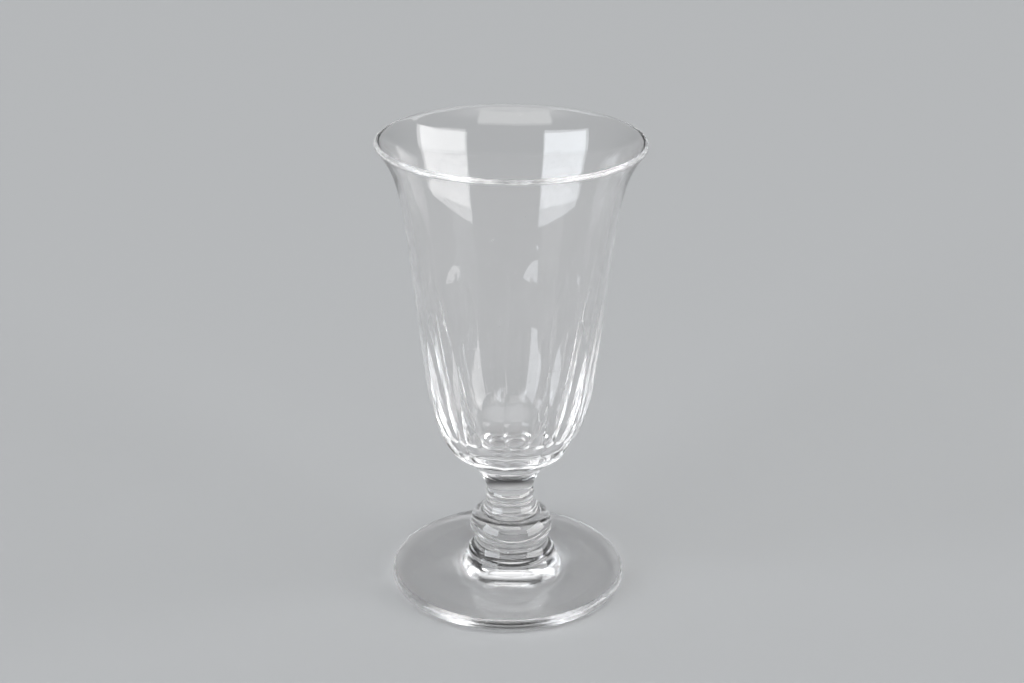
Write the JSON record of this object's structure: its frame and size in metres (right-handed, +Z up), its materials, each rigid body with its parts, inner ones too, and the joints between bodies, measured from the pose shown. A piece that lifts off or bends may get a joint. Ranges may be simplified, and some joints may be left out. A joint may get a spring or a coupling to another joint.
{
  "type": "footed mixing glass",
  "caption": "Footed clear mixing glass with a flared bowl, arched flat-cut panels round its lower half, a knopped stem and a flat round foot; holds, mixes and serves a drink.",
  "frame": {"origin": "centre of the flat ring under the foot, on the surface that the glass stands on", "axes": "+Z up the glass's own axis to the rim, -Y towards a ridge between two panels, +X to the right of it"},
  "size_m": [0.0912, 0.0912, 0.165],
  "materials": {
    "clear_glass": "clear colourless lead glass, fire-polished, with wheel-cut and polished panels"
  },
  "bodies": {
    "root": {"foot": "clear_glass", "foot_pad": "clear_glass", "base_collar": "clear_glass", "knop": "clear_glass", "neck_ring": "clear_glass", "neck": "clear_glass", "bowl": "clear_glass"}
  },
  "joints": []
}
